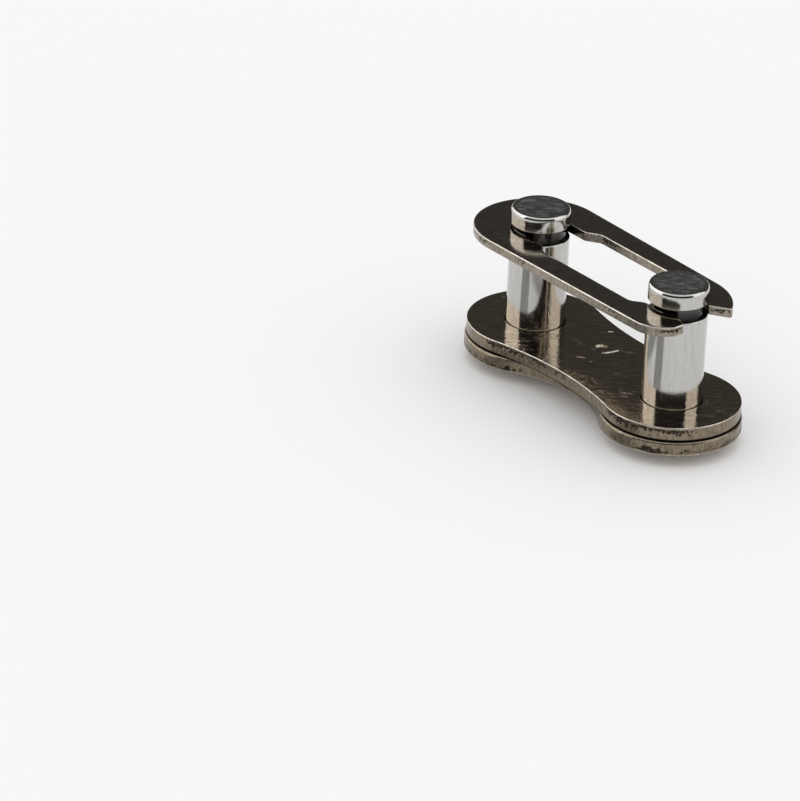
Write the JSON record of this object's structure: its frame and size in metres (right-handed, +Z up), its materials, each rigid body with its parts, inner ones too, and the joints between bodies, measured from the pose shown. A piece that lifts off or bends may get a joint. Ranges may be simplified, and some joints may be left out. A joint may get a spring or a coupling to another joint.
{
  "type": "chain connecting link",
  "caption": "Half-inch pitch chain connecting link: a waisted plate with riveted grooved pins, a lift-off plate and a flat spring clip snapped into the pin grooves.",
  "frame": {"origin": "midway between the pins' axes, on the surface that the rivet ends stand on", "axes": "+X along the pitch from the pin at the clip's closed end to the pin at its open end, +Z up the pins towards the clip, +Y across the plates"},
  "size_m": [0.0212, 0.0084, 0.0099],
  "materials": {
    "plate_steel": "blanked carbon steel with a thin warm nickel finish, tumbled, glossy on the faces and rough on the blanked edges",
    "pin_steel": "ground and polished hardened steel, bright",
    "clip_steel": "blanked spring steel with a thin warm nickel finish, glossy"
  },
  "bodies": {
    "riveted_half": {"pin_plate": "plate_steel", "closed_end_pin": "pin_steel", "open_end_pin": "pin_steel"},
    "loose_plate": {"loose_plate": "plate_steel"},
    "spring_clip": {"spring_clip": "clip_steel"}
  },
  "joints": [
    {"name": "loose_plate_slide", "type": "slide", "parent": "riveted_half", "child": "loose_plate", "axis": [0, 0, 1], "range_m": [0, 0.0055]},
    {"name": "clip_slide", "type": "slide", "parent": "riveted_half", "child": "spring_clip", "axis": [-1, 0, 0], "range_m": [0, 0.007], "deforming": ["spring_clip"]}
  ]
}
